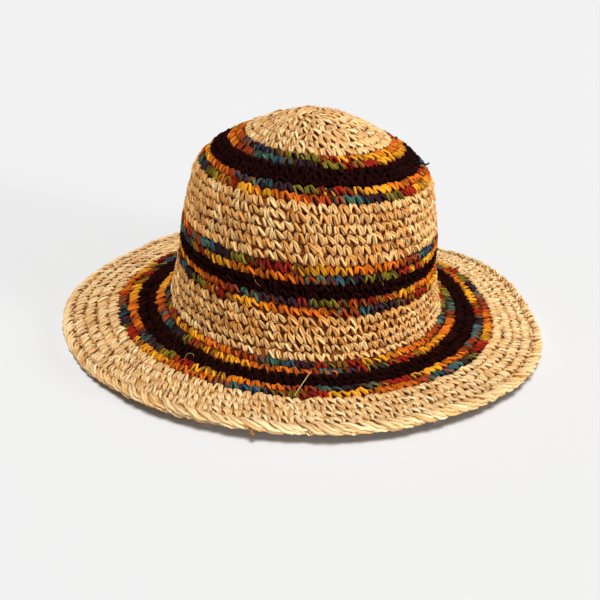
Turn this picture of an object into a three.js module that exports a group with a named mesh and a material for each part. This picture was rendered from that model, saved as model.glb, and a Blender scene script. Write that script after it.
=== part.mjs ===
// A crocheted sun hat: a domed crown, three striped bands and a wide wavy brim with a corded rim.
// It is worked in rounds from the tip of the crown to the rim, and each yarn's rounds are one solid.
// Millimetres, +Z up. The hat lies on its rim on the plane z = 0, with its front towards -Y,
// and the origin is under the middle of its outline.
import * as THREE from "three";

// Driving dimensions
const headRadius = 96; // outside of the crown at the head band, half of its mean width
const headOval = 4.8; // how much longer than that the crown is front to back, and narrower across
const crownHeight = 137.5; // from the brim join to the tip
const crownTilt = -0.015; // rise of the crown's rounds per millimetre across: its right side sinks
const tiltRounds = 7; // the tilt fades out over the crown's last rounds above the brim join
const crownShift = 1.4; // how far the tip stands to the right of the brim join
const brimWidth = 76; // from the brim join to the outside of the rim
const brimFall = 9.4; // how much lower the rim is than the brim join, on average
const brimWave = 4; // height of the brim's waves above and below that
const joinRounds = 1.5; // rounds over which the crown turns into the brim, either side of the join
const wall = 4.2; // thickness of the crocheted cloth
const ribRelief = 0.9; // how far each round stands out from the valleys beside it
const rimThickness = 6.4; // thickness of the corded rim
const rimStand = 1.4; // how far the corded rim stands above the cloth's upper face
const rimRounds = 1.3; // width of the corded rim, counted in rounds of the brim
const settle = 1; // how far the rim's lowest stretches are pressed flat by the floor
const seam = 0.3; // clearance between the rounds of one yarn and the next
const azimuthSteps = 40; // facets round the hat
const rimSides = 8; // facets round the corded rim

// The yarns, with the look of each
const yarns = {
  natural: { color: 0xd8b888, roughness: 0.85, metalness: 0 },
  multicolour: { color: 0xb8702c, roughness: 0.85, metalness: 0 },
  black: { color: 0x1c1311, roughness: 0.95, metalness: 0 },
};

// The rounds, in the order they are worked
const crownBands = [
  { node: "crown_tip", yarn: "natural", rounds: 9 },
  { node: "top_band_inner", yarn: "multicolour", rounds: 2 },
  { node: "top_band_black", yarn: "black", rounds: 3 },
  { node: "top_band_outer", yarn: "multicolour", rounds: 2 },
  { node: "crown_side", yarn: "natural", rounds: 6 },
  { node: "head_band_upper", yarn: "multicolour", rounds: 2 },
  { node: "head_band_black", yarn: "black", rounds: 2 },
  { node: "head_band_lower", yarn: "multicolour", rounds: 2 },
  { node: "crown_base", yarn: "natural", rounds: 5 },
];
const brimBands = [
  { node: "brim_band_inner", yarn: "multicolour", rounds: 2 },
  { node: "brim_band_black", yarn: "black", rounds: 2 },
  { node: "brim_band_outer", yarn: "multicolour", rounds: 2 },
  { node: "brim_edge", yarn: "natural", rounds: 4 },
];

// The crown's profile. way: share of the crown's rounds from the tip. radius: share of headRadius.
// height: share of crownHeight above the brim join.
const crownProfile = [
  { way: 0, radius: 0, height: 1 },
  { way: 0.136, radius: 0.286, height: 0.955 },
  { way: 0.273, radius: 0.568, height: 0.87 },
  { way: 0.333, radius: 0.682, height: 0.834 },
  { way: 0.424, radius: 0.803, height: 0.773 },
  { way: 0.485, radius: 0.886, height: 0.71 },
  { way: 0.576, radius: 0.938, height: 0.583 },
  { way: 0.727, radius: 0.996, height: 0.363 },
  { way: 0.788, radius: 1, height: 0.294 },
  { way: 0.848, radius: 1.021, height: 0.21 },
  { way: 1, radius: 1.076, height: 0 },
];

// The brim's outline and waves. azimuth: degrees from +X, with the front at 270.
// reach: share of brimWidth. lift: share of brimWave.
const brimSweep = [
  { azimuth: 0, reach: 1.03, lift: -0.95 },
  { azimuth: 30, reach: 1.06, lift: 0.7 },
  { azimuth: 60, reach: 1.01, lift: -1 },
  { azimuth: 90, reach: 0.97, lift: 0 },
  { azimuth: 120, reach: 0.98, lift: 0.6 },
  { azimuth: 150, reach: 0.98, lift: -0.6 },
  { azimuth: 180, reach: 1.04, lift: -1 },
  { azimuth: 210, reach: 0.97, lift: -0.9 },
  { azimuth: 240, reach: 0.92, lift: 0.9 },
  { azimuth: 270, reach: 0.86, lift: 1 },
  { azimuth: 300, reach: 0.87, lift: 1 },
  { azimuth: 330, reach: 0.97, lift: 0.6 },
];
const waveGrowth = 1.6; // the waves grow from the join to the rim by this power

// Counts and heights that follow from the sizes above
const roundsOf = (bands) => bands.reduce((sum, band) => sum + band.rounds, 0);
const crownRounds = roundsOf(crownBands);
const brimRounds = roundsOf(brimBands) + rimRounds;
const rimMiddle = 1 - rimRounds / 2 / brimRounds; // the middle of the corded rim, as a share of brimWidth
const lowestWave = brimWave * Math.min(...brimSweep.map((row) => row.lift)) * rimMiddle ** waveGrowth;
const joinHeight = rimThickness - rimStand - settle - lowestWave + brimFall * rimMiddle;

// Smooth curve through (x, y) points with rising x: a cubic between each pair, flat at the start if asked.
function curveThrough(xs, ys, flatStart) {
  const last = xs.length - 1;
  const chord = (i) => (ys[i + 1] - ys[i]) / (xs[i + 1] - xs[i]);
  const slope = (i) => {
    if (i === 0) return flatStart ? 0 : chord(0);
    if (i === last) return chord(last - 1);
    const before = xs[i] - xs[i - 1];
    const after = xs[i + 1] - xs[i];
    return (chord(i - 1) * after + chord(i) * before) / (before + after);
  };
  return (x) => {
    let i = 0;
    while (i < last - 1 && x > xs[i + 1]) i += 1;
    const step = xs[i + 1] - xs[i];
    const t = (x - xs[i]) / step;
    const rise = t * t * (3 - 2 * t);
    return (
      ys[i] * (1 - rise) +
      ys[i + 1] * rise +
      step * slope(i) * t * (1 - t) * (1 - t) -
      step * slope(i + 1) * t * t * (1 - t)
    );
  };
}

// Smooth closed curve through a column of the brim's table, by azimuth in radians.
function curveRound(table, column) {
  const turn = table.concat(table, table);
  const angles = turn.map((row, i) => {
    const turns = Math.floor(i / table.length) - 1;
    return THREE.MathUtils.degToRad(row.azimuth) + turns * 2 * Math.PI;
  });
  return curveThrough(
    angles,
    turn.map((row) => row[column]),
    false,
  );
}

const ways = crownProfile.map((row) => row.way);
const profileRadius = curveThrough(ways, crownProfile.map((row) => row.radius), false);
const profileHeight = curveThrough(ways, crownProfile.map((row) => row.height), true);
const brimReach = curveRound(brimSweep, "reach");
const brimLift = curveRound(brimSweep, "lift");

// The crown's outer surface at a round, counted from the tip, and an azimuth.
function crownPoint(round, azimuth) {
  const way = round / crownRounds;
  const ovalShare = Math.min(1, profileRadius(way));
  const radius = headRadius * profileRadius(way) - headOval * ovalShare * Math.cos(2 * azimuth);
  const x = radius * Math.cos(azimuth);
  const y = radius * Math.sin(azimuth);
  const height = profileHeight(way);
  const tilted = crownTilt * x * THREE.MathUtils.clamp((crownRounds - round) / tiltRounds, 0, 1);
  return new THREE.Vector3(x + crownShift * height, y, joinHeight + crownHeight * height + tilted);
}

// The brim's upper surface at a round, counted from the join, and an azimuth.
function brimPoint(round, azimuth) {
  const share = round / brimRounds;
  const join = crownPoint(crownRounds, azimuth);
  const out = brimWidth * brimReach(azimuth) * share;
  const wave = brimWave * brimLift(azimuth) * Math.pow(share, waveGrowth);
  return new THREE.Vector3(
    join.x + out * Math.cos(azimuth),
    join.y + out * Math.sin(azimuth),
    joinHeight - brimFall * share + wave,
  );
}

// The whole outer surface at a round, counted from the tip, with the join rounded off.
function skinPoint(round, azimuth) {
  const t = (round - crownRounds + joinRounds) / (2 * joinRounds);
  if (t <= 0) return crownPoint(round, azimuth);
  if (t >= 1) return brimPoint(round - crownRounds, azimuth);
  const corner = crownPoint(crownRounds, azimuth);
  return crownPoint(crownRounds - joinRounds, azimuth)
    .multiplyScalar((1 - t) * (1 - t))
    .addScaledVector(corner, 2 * t * (1 - t))
    .addScaledVector(brimPoint(joinRounds, azimuth), t * t);
}

// The outward direction of the skin there.
function skinNormal(round, azimuth) {
  const step = 0.05; // both in rounds and in radians
  const offAxis = Math.max(round, step);
  const along = skinPoint(round + step, azimuth).sub(skinPoint(Math.max(round - step, 0), azimuth));
  const around = skinPoint(offAxis, azimuth + step).sub(skinPoint(offAxis, azimuth - step));
  return along.cross(around).normalize();
}

// A point under the skin by a depth. The floor presses flat what would reach below it.
function clothPoint(round, azimuth, depth) {
  const point = skinPoint(round, azimuth).addScaledVector(skinNormal(round, azimuth), -depth);
  point.z = Math.max(point.z, 0);
  return point;
}

// How many rounds a length along the cloth takes there.
function roundsIn(length, round) {
  const step = 0.25;
  return (length * step) / skinPoint(round + step, 0).distanceTo(skinPoint(round, 0));
}

// The outline of a band's cut at an azimuth: its ribs down the outside and its plain inner face back up.
function bandSection(from, to, azimuth) {
  const start = from === 0 ? 0 : from + roundsIn(seam / 2, from);
  const end = to - roundsIn(seam / 2, to);
  const points = [];
  for (let round = from; round < to; round += 1) {
    const valley = round === from ? start : round;
    points.push(clothPoint(valley, azimuth, round === 0 ? 0 : ribRelief));
    points.push(clothPoint(round + 0.5, azimuth, 0));
  }
  points.push(clothPoint(end, azimuth, ribRelief));
  const innerSteps = Math.max(1, Math.round((to - from) / 2));
  for (let i = innerSteps; i >= 0; i -= 1) {
    points.push(clothPoint(start + ((end - start) * i) / innerSteps, azimuth, wall));
  }
  return points;
}

// The outline of the corded rim's cut at an azimuth.
function rimSection(azimuth) {
  const rimStart = crownRounds + brimRounds - rimRounds;
  const inner = rimStart + roundsIn(seam / 2, rimStart);
  const outer = crownRounds + brimRounds;
  const points = [];
  for (let side = 0; side < rimSides; side += 1) {
    const turn = ((side + 0.5) * 2 * Math.PI) / rimSides;
    const across = Math.cos(turn) / Math.cos(Math.PI / rimSides);
    const up = Math.sin(turn) / Math.cos(Math.PI / rimSides);
    const round = (inner + outer) / 2 - ((outer - inner) / 2) * across;
    points.push(clothPoint(round, azimuth, (rimThickness / 2) * (1 - up) - rimStand));
  }
  return points;
}

// A closed solid from the cut at each azimuth. A cut that starts and ends on the axis closes the tip.
function sweptRound(sectionAt, meetsAxis) {
  const sections = [];
  for (let i = 0; i < azimuthSteps; i += 1) {
    sections.push(sectionAt((i * 2 * Math.PI) / azimuthSteps));
  }
  const count = sections[0].length;
  const positions = sections.flat().flatMap((p) => [p.x, p.y, p.z]);
  const indices = [];
  const at = (i, k) => {
    const pole = meetsAxis && (k === 0 || k === count - 1);
    return (pole ? 0 : i % azimuthSteps) * count + (k % count);
  };
  const addTriangle = (a, b, c) => {
    if (a !== b && b !== c && c !== a) indices.push(a, b, c);
  };
  const strips = meetsAxis ? count - 1 : count;
  for (let i = 0; i < azimuthSteps; i += 1) {
    for (let k = 0; k < strips; k += 1) {
      addTriangle(at(i, k), at(i, k + 1), at(i + 1, k + 1));
      addTriangle(at(i, k), at(i + 1, k + 1), at(i + 1, k));
    }
  }
  const geometry = new THREE.BufferGeometry();
  geometry.setAttribute("position", new THREE.Float32BufferAttribute(positions, 3));
  geometry.setIndex(indices);
  geometry.computeVertexNormals();
  return geometry;
}

function yarnMesh(name, yarn, geometry) {
  const mesh = new THREE.Mesh(geometry, new THREE.MeshStandardMaterial(yarns[yarn]));
  mesh.name = name;
  return mesh;
}

const hat = new THREE.Group();
let worked = 0;
for (const band of [...crownBands, ...brimBands]) {
  const from = worked;
  const to = from + band.rounds;
  const geometry = sweptRound((azimuth) => bandSection(from, to, azimuth), from === 0);
  hat.add(yarnMesh(band.node, band.yarn, geometry));
  worked = to;
}
hat.add(yarnMesh("rim_cord", "natural", sweptRound(rimSection, false)));

// The origin goes under the middle of the outline
const outline = new THREE.Box3().setFromObject(hat);
const middle = outline.getCenter(new THREE.Vector3());
hat.position.set(-middle.x, -middle.y, 0);

export default hat;
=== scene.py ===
"""A crocheted sun hat, worked stitch by stitch in natural, black and multicoloured yarn round its solids."""

import logging
import math
from dataclasses import dataclass, field, replace
from enum import Enum

import bpy
import numpy as np
from mathutils import Matrix, Vector


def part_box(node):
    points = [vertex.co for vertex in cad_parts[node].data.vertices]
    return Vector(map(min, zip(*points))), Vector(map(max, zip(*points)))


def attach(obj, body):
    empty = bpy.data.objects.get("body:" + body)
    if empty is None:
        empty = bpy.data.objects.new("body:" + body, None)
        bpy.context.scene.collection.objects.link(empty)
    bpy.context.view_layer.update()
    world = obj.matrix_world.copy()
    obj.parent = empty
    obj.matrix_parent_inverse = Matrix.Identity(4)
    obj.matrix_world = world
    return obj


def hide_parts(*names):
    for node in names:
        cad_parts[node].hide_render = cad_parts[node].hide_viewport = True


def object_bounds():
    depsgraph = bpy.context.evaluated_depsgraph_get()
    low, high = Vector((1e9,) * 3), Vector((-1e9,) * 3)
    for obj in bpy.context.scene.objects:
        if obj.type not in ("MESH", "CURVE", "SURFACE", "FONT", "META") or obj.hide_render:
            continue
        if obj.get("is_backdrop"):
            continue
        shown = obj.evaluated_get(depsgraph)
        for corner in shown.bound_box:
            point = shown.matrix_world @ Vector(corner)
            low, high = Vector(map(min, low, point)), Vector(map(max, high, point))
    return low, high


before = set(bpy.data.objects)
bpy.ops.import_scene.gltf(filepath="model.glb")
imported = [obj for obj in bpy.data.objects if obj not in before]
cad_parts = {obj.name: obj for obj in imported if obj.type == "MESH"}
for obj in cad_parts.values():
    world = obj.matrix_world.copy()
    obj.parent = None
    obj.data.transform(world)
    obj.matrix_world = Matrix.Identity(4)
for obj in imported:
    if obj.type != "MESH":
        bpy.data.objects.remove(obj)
cad_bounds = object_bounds()
log = logging.getLogger("sun_hat")

MM = 0.001
FULL_TURN = 2 * math.pi


class Yarn(Enum):
    """The three yarns, by the name of the record's slot."""

    NATURAL = "natural_yarn"
    MULTICOLOUR = "multicolour_yarn"
    BLACK = "black_yarn"


@dataclass(frozen=True)
class Band:
    """Some rounds of one yarn, which stand for one solid."""

    node: str
    yarn: Yarn
    rounds: int


CROWN_BANDS = (
    Band("crown_tip", Yarn.NATURAL, 9),
    Band("top_band_inner", Yarn.MULTICOLOUR, 2),
    Band("top_band_black", Yarn.BLACK, 3),
    Band("top_band_outer", Yarn.MULTICOLOUR, 2),
    Band("crown_side", Yarn.NATURAL, 6),
    Band("head_band_upper", Yarn.MULTICOLOUR, 2),
    Band("head_band_black", Yarn.BLACK, 2),
    Band("head_band_lower", Yarn.MULTICOLOUR, 2),
    Band("crown_base", Yarn.NATURAL, 5),
)
BRIM_BANDS = (
    Band("brim_band_inner", Yarn.MULTICOLOUR, 2),
    Band("brim_band_black", Yarn.BLACK, 2),
    Band("brim_band_outer", Yarn.MULTICOLOUR, 2),
    Band("brim_edge", Yarn.NATURAL, 4),
)


@dataclass(frozen=True)
class ProfileRow:
    """A ring of the crown: its share of the rounds, of the head's radius and of the crown's height."""

    way: float
    radius: float
    height: float


@dataclass(frozen=True)
class SweepRow:
    """A direction of the brim: its azimuth in degrees and its shares of the brim's width and wave."""

    azimuth: float
    reach: float
    lift: float


CROWN_PROFILE = (
    ProfileRow(0, 0, 1),
    ProfileRow(0.136, 0.286, 0.955),
    ProfileRow(0.273, 0.568, 0.87),
    ProfileRow(0.333, 0.682, 0.834),
    ProfileRow(0.424, 0.803, 0.773),
    ProfileRow(0.485, 0.886, 0.71),
    ProfileRow(0.576, 0.938, 0.583),
    ProfileRow(0.727, 0.996, 0.363),
    ProfileRow(0.788, 1, 0.294),
    ProfileRow(0.848, 1.021, 0.21),
    ProfileRow(1, 1.076, 0),
)
BRIM_SWEEP = (
    SweepRow(0, 1.03, -0.95),
    SweepRow(30, 1.06, 0.7),
    SweepRow(60, 1.01, -1),
    SweepRow(90, 0.97, 0),
    SweepRow(120, 0.98, 0.6),
    SweepRow(150, 0.98, -0.6),
    SweepRow(180, 1.04, -1),
    SweepRow(210, 0.97, -0.9),
    SweepRow(240, 0.92, 0.9),
    SweepRow(270, 0.86, 1),
    SweepRow(300, 0.87, 1),
    SweepRow(330, 0.97, 0.6),
)


class SmoothCurve:
    """A curve through points with rising x, a cubic between each pair."""

    def __init__(self, xs: np.ndarray, ys: np.ndarray, flat_start: bool = False) -> None:
        """Works out the slope at each point.

        Args:
            xs: the rising positions, one for each point.
            ys: the values there, a number or a row of numbers for each point.
            flat_start: whether the curve starts level.
        """
        self.xs = np.asarray(xs, float)
        self.ys = np.asarray(ys, float).reshape(len(self.xs), -1)
        gaps = np.diff(self.xs)[:, None]
        chords = np.diff(self.ys, axis=0) / gaps
        inner = (chords[:-1] * gaps[1:] + chords[1:] * gaps[:-1]) / (gaps[:-1] + gaps[1:])
        first = chords[:1] * (0 if flat_start else 1)
        self.slopes = np.concatenate([first, inner, chords[-1:]])

    def __call__(self, x: np.ndarray) -> np.ndarray:
        """The curve's values at x.

        Args:
            x: the positions to read.

        Returns:
            One value for each position, or one row where the points held rows.
        """
        x = np.asarray(x, float)
        i = np.clip(np.searchsorted(self.xs, x) - 1, 0, len(self.xs) - 2)
        step = (self.xs[i + 1] - self.xs[i])[..., None]
        t = (x - self.xs[i])[..., None] / step
        rise = t * t * (3 - 2 * t)
        values = (
            self.ys[i] * (1 - rise)
            + self.ys[i + 1] * rise
            + step * self.slopes[i] * t * (1 - t) ** 2
            - step * self.slopes[i + 1] * t * t * (1 - t)
        )
        return values[..., 0] if values.shape[-1] == 1 else values


@dataclass
class HatForm:
    """The shape that the crochet follows: the same sizes and tables as the solids, in metres.

    The lowest waves of the brim are pressed on the floor by the settle. The points and the step are those
    that lengths, boxes and directions are measured with.
    """

    head_radius: float = 96 * MM
    head_oval: float = 4.8 * MM
    crown_height: float = 137.5 * MM
    crown_tilt: float = -0.015
    crown_shift: float = 1.4 * MM
    tilt_rounds: float = 7
    brim_width: float = 76 * MM
    brim_fall: float = 9.4 * MM
    brim_wave: float = 4 * MM
    wave_growth: float = 1.6
    join_rounds: float = 1.5
    wall: float = 4.2 * MM
    rim_thickness: float = 6.4 * MM
    rim_stand: float = 1.4 * MM
    rim_rounds: float = 1.3
    settle: float = 1 * MM
    outline_points: int = 40
    ring_points: int = 73
    axis_step: float = 0.05
    crown_rounds: int = sum(band.rounds for band in CROWN_BANDS)
    brim_rounds: float = field(init=False)
    join_height: float = field(init=False)
    offset: np.ndarray = field(init=False)

    def __post_init__(self) -> None:
        """Works out the heights and where the hat stands, by the box of its rim."""
        self.brim_rounds = sum(band.rounds for band in BRIM_BANDS) + self.rim_rounds
        ways = [row.way for row in CROWN_PROFILE]
        self.radius_at = SmoothCurve(ways, [row.radius for row in CROWN_PROFILE])
        self.height_at = SmoothCurve(ways, [row.height for row in CROWN_PROFILE], flat_start=True)
        turns = [(row, turn) for turn in (-1, 0, 1) for row in BRIM_SWEEP]
        angles = [math.radians(row.azimuth) + turn * FULL_TURN for row, turn in turns]
        self.reach_at = SmoothCurve(angles, [row.reach for row, _ in turns])
        self.lift_at = SmoothCurve(angles, [row.lift for row, _ in turns])
        middle = 1 - self.rim_rounds / 2 / self.brim_rounds
        lowest = self.brim_wave * min(row.lift for row in BRIM_SWEEP) * middle**self.wave_growth
        stand = self.rim_thickness - self.rim_stand - self.settle
        self.join_height = stand - lowest + self.brim_fall * middle
        self.offset = np.zeros(3)
        low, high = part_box("rim_cord")
        around = np.linspace(0, FULL_TURN, self.outline_points, endpoint=False)
        outline = self.skin(np.full(self.outline_points, self.all_rounds), around)
        wanted = np.array((low + high) / 2)
        own = (outline.min(0) + outline.max(0)) / 2
        self.offset = np.array([*(wanted - own)[:2], 0])

    @property
    def all_rounds(self) -> float:
        """The rounds from the tip to the outside of the rim."""
        return self.crown_rounds + self.brim_rounds

    @property
    def rim_start(self) -> float:
        """The round where the rim's cord begins."""
        return self.all_rounds - self.rim_rounds

    def crown_point(self, rounds: np.ndarray, azimuth: np.ndarray) -> np.ndarray:
        """Points of the crown's outer surface.

        Args:
            rounds: rounds from the tip.
            azimuth: directions in radians.

        Returns:
            One row of x, y and z for each.
        """
        way = rounds / self.crown_rounds
        share = self.radius_at(way)
        radius = self.head_radius * share - self.head_oval * np.minimum(1, share) * np.cos(2 * azimuth)
        x, y = radius * np.cos(azimuth), radius * np.sin(azimuth)
        height = self.height_at(way)
        fading = np.clip((self.crown_rounds - rounds) / self.tilt_rounds, 0, 1)
        z = self.join_height + self.crown_height * height + self.crown_tilt * x * fading
        return np.stack([x + self.crown_shift * height, y, z], -1)

    def brim_point(self, rounds: np.ndarray, azimuth: np.ndarray) -> np.ndarray:
        """Points of the brim's upper surface.

        Args:
            rounds: rounds from the brim join.
            azimuth: directions in radians.

        Returns:
            One row of x, y and z for each.
        """
        share = np.clip(rounds / self.brim_rounds, 0, None)
        turn = np.mod(azimuth, FULL_TURN)
        point = self.crown_point(np.full_like(share, self.crown_rounds), azimuth)
        out = self.brim_width * self.reach_at(turn) * share
        wave = self.brim_wave * self.lift_at(turn) * share**self.wave_growth
        point[..., 0] += out * np.cos(azimuth)
        point[..., 1] += out * np.sin(azimuth)
        point[..., 2] = self.join_height - self.brim_fall * share + wave
        return point

    def skin(self, rounds: np.ndarray, azimuth: np.ndarray) -> np.ndarray:
        """Points of the whole outer surface, with the join rounded off.

        Args:
            rounds: rounds from the tip.
            azimuth: directions in radians.

        Returns:
            One row of x, y and z for each.
        """
        rounds = np.asarray(rounds, float)
        azimuth = np.asarray(azimuth, float)
        full = np.full_like(rounds, self.crown_rounds)
        t = (rounds - self.crown_rounds + self.join_rounds) / (2 * self.join_rounds)
        crown = self.crown_point(np.minimum(rounds, full), azimuth)
        brim = self.brim_point(rounds - full, azimuth)
        corner = self.crown_point(full, azimuth)
        start = self.crown_point(full - self.join_rounds, azimuth)
        end = self.brim_point(np.full_like(rounds, self.join_rounds), azimuth)
        u = np.clip(t, 0, 1)[..., None]
        rounded = start * (1 - u) ** 2 + corner * 2 * u * (1 - u) + end * u * u
        point = np.where(t[..., None] <= 0, crown, np.where(t[..., None] >= 1, brim, rounded))
        return point + self.offset

    def axes(self, rounds: np.ndarray, azimuth: np.ndarray) -> tuple[np.ndarray, np.ndarray, np.ndarray]:
        """Directions on the surface.

        Args:
            rounds: rounds from the tip.
            azimuth: directions in radians.

        Returns:
            Unit rows along the round, towards the tip, and outwards.
        """
        step = self.axis_step
        off_axis = np.maximum(rounds, step)
        along = self.skin(rounds + step, azimuth) - self.skin(np.maximum(rounds - step, 0), azimuth)
        around = self.skin(off_axis, azimuth + step) - self.skin(off_axis, azimuth - step)
        out = unit(np.cross(along, around))
        around = unit(around)
        return around, np.cross(out, around), out

    def cloth(self, rounds: np.ndarray, azimuth: np.ndarray, depth: np.ndarray | float) -> np.ndarray:
        """Points under the surface by a depth.

        Args:
            rounds: rounds from the tip.
            azimuth: directions in radians.
            depth: how far under the surface, in metres.

        Returns:
            One row of x, y and z for each, no lower than the floor.
        """
        out = self.axes(rounds, azimuth)[2]
        point = self.skin(rounds, azimuth) - out * np.asarray(depth)[..., None]
        point[..., 2] = np.maximum(point[..., 2], 0)
        return point

    def length_of(self, rounds: float) -> float:
        """The length once round the hat.

        Args:
            rounds: the round, counted from the tip.

        Returns:
            The length in metres.
        """
        around = np.linspace(0, FULL_TURN, self.ring_points)
        ring = self.skin(np.full(self.ring_points, rounds), around)
        return float(np.linalg.norm(np.diff(ring, axis=0), axis=1).sum())


def unit(rows: np.ndarray) -> np.ndarray:
    """The rows scaled to a length of one."""
    return rows / np.maximum(np.linalg.norm(rows, axis=-1, keepdims=True), 1e-12)


def linear(red: int, green: int, blue: int) -> np.ndarray:
    """A colour as seen on screen, 0 to 255, in the renderer's linear values, by the sRGB curve."""
    share = np.array([red, green, blue]) / 255
    return np.where(share <= 0.04045, share / 12.92, ((share + 0.055) / 1.055) ** 2.4)


def turned(across: np.ndarray, upward: np.ndarray, angle: np.ndarray) -> tuple[np.ndarray, np.ndarray]:
    """Pairs of directions, turned in their own plane.

    Args:
        across: unit rows.
        upward: unit rows at right angles to them.
        angle: how far each pair turns, in radians.

    Returns:
        The first rows turned towards the second, and the second turned as far.
    """
    cos, sin = np.cos(angle)[:, None], np.sin(angle)[:, None]
    return across * cos + upward * sin, upward * cos - across * sin


def ply_path(middle: np.ndarray, outward: np.ndarray, angle: np.ndarray, offset: float,
             flatness: float) -> np.ndarray:
    """The middle line of one ply, which winds round the yarn's.

    Args:
        middle: the points of the yarn's middle line.
        outward: the direction out of the cloth, or one for each point.
        angle: where the ply lies round the yarn at each point, in radians.
        offset: how far the ply lies from the middle.
        flatness: the share of the offset that it keeps in the direction out of the cloth.

    Returns:
        The ply's points.
    """
    tangent = unit(np.gradient(middle, axis=0))
    side = unit(np.cross(tangent, outward))
    up = np.cross(side, tangent)
    shift = np.cos(angle)[:, None] * side + flatness * np.sin(angle)[:, None] * up
    return middle + shift * offset


def tube_faces(start: int, rings: int, sides: int, closed: bool = False) -> list[tuple[int, ...]]:
    """The side faces of a tube whose points come ring by ring.

    Args:
        start: the number of its first point.
        rings: how many rings it has.
        sides: how many points each ring has.
        closed: whether the last ring joins the first.

    Returns:
        The numbers of four points for each face.
    """
    faces = []
    for i in range(rings if closed else rings - 1):
        near, far = start + i * sides, start + (i + 1) % rings * sides
        faces += [(near + k, far + k, far + (k + 1) % sides, near + (k + 1) % sides) for k in range(sides)]
    return faces


def write_layer(mesh: bpy.types.Mesh, name: str, rows: np.ndarray, kind: str = "FLOAT_VECTOR") -> None:
    """Adds an attribute with a value for each point.

    Args:
        mesh: the mesh that gets it.
        name: the attribute's name.
        rows: the values, one for each point.
        kind: the attribute's type.
    """
    layer = mesh.attributes.new(name, kind, "POINT")
    slot = "vector" if kind == "FLOAT_VECTOR" else "value"
    number = np.int32 if kind == "INT" else np.float32
    layer.data.foreach_set(slot, np.ascontiguousarray(rows, number).ravel())


def add_object(name: str, data: bpy.types.ID) -> bpy.types.Object:
    """Makes an object and links it to the scene.

    Args:
        name: the object's name.
        data: its mesh, lamp or camera.

    Returns:
        The object.
    """
    made = bpy.data.objects.new(name, data)
    bpy.context.scene.collection.objects.link(made)
    return made


@dataclass
class Spiral:
    """The way that the stitches run: one spiral from the tip, which starts and ends level.

    A place on it is a number of turns from the tip. It runs down by one round on each turn about the hat.
    """

    form: HatForm
    start: float = math.radians(140)
    stitch: float = 6.1 * MM
    brim_stitch: float = 6 * MM
    fewest: float = 5
    fade_in: float = 2
    fade_out: float = 3
    higher: float = 0.12
    sample_step: float = 0.1

    def __post_init__(self) -> None:
        """Counts the stitches along the spiral."""
        self.turns = np.arange(0, self.form.rim_start + self.sample_step / 2, self.sample_step)
        self.counts = np.array([self.count(turn) for turn in self.turns])
        steps = (self.counts[1:] + self.counts[:-1]) / 2 * np.diff(self.turns)
        self.stitches = np.concatenate([[0], np.cumsum(steps)])

    def count(self, turn: float) -> float:
        """How many stitches fit in a round there.

        Args:
            turn: turns from the tip.

        Returns:
            The number, not rounded.
        """
        brim = np.clip(turn - self.form.crown_rounds + 1, 0, 1)
        width = self.stitch * (1 - brim) + self.brim_stitch * brim
        return max(self.form.length_of(turn) / width, self.fewest)

    def stitch_turns(self, first: int, rounds: int) -> np.ndarray:
        """Where the stitches of some rounds sit on the spiral.

        Args:
            first: the first round's number, counted from 0 at the tip.
            rounds: the number of rounds.

        Returns:
            The turns from the tip to each stitch's middle.
        """
        low, high = np.interp((first, first + rounds), self.turns, self.stitches)
        middles = np.arange(math.ceil(low - 0.5), math.ceil(high - 0.5)) + 0.5
        return np.interp(middles, self.stitches, self.turns)

    def rounds_at(self, turns: np.ndarray) -> np.ndarray:
        """The middle of the stitches' height there.

        Args:
            turns: turns from the tip.

        Returns:
            One value for each, in rounds from the tip.
        """
        rising = np.clip(turns / self.fade_in, 0, 1)
        steep = rising * np.clip((self.form.rim_start - 1 - turns) / self.fade_out, 0, 1)
        share = np.mod(turns, 1)
        return turns - share + 0.5 + (share - 0.5) * steep - self.higher * steep

    def azimuth_at(self, turns: np.ndarray) -> np.ndarray:
        """The azimuth in radians."""
        return self.start + FULL_TURN * turns


@dataclass(frozen=True)
class DyeRun:
    """A stretch of one colour in the multicoloured yarn, as a share of the yarn's repeat."""

    name: str
    colour: np.ndarray
    share: float


DYE_REPEAT = (
    DyeRun("gold", linear(238, 162, 34), 0.2),
    DyeRun("orange", linear(224, 114, 24), 0.22),
    DyeRun("rust", linear(158, 60, 18), 0.13),
    DyeRun("teal", linear(70, 108, 88), 0.07),
    DyeRun("blue", linear(56, 82, 104), 0.04),
    DyeRun("purple", linear(54, 29, 36), 0.12),
    DyeRun("olive", linear(136, 122, 30), 0.09),
    DyeRun("red", linear(160, 34, 14), 0.1),
    DyeRun("maroon", linear(84, 26, 16), 0.03),
)


@dataclass(frozen=True)
class DyedRound:
    """Where the repeat starts on a round, as an azimuth in degrees, and how many stitches it takes."""

    turn: int
    gold_azimuth: float
    stitches: float


DYED_ROUNDS = (
    DyedRound(9, 294, 27),
    DyedRound(10, 318, 33),
    DyedRound(14, 291, 26.5),
    DyedRound(15, 233, 22),
    DyedRound(22, 265, 26),
    DyedRound(23, 230, 23.5),
    DyedRound(26, 297, 31),
    DyedRound(27, 240, 25.4),
    DyedRound(33, 216, 24),
    DyedRound(34, 240, 24),
    DyedRound(37, 240, 24.4),
    DyedRound(38, 218, 24),
)


CREAM = linear(248, 212, 146)
PALE_CREAM = linear(248, 220, 170)
STRAW = linear(222, 150, 66)
PALE_STRAW = linear(232, 184, 120)
CORE_STRAW = linear(203, 156, 98)
TAN = linear(170, 98, 40)
BLACK = linear(26, 6, 4)
LOOSE_BLACK = linear(26, 14, 12)
BROWN = linear(40, 12, 8)


@dataclass(frozen=True)
class PlyLook:
    """One ply of the natural yarn: its usual share of cream, and how light it is."""

    creamy: float
    tone: float


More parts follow.
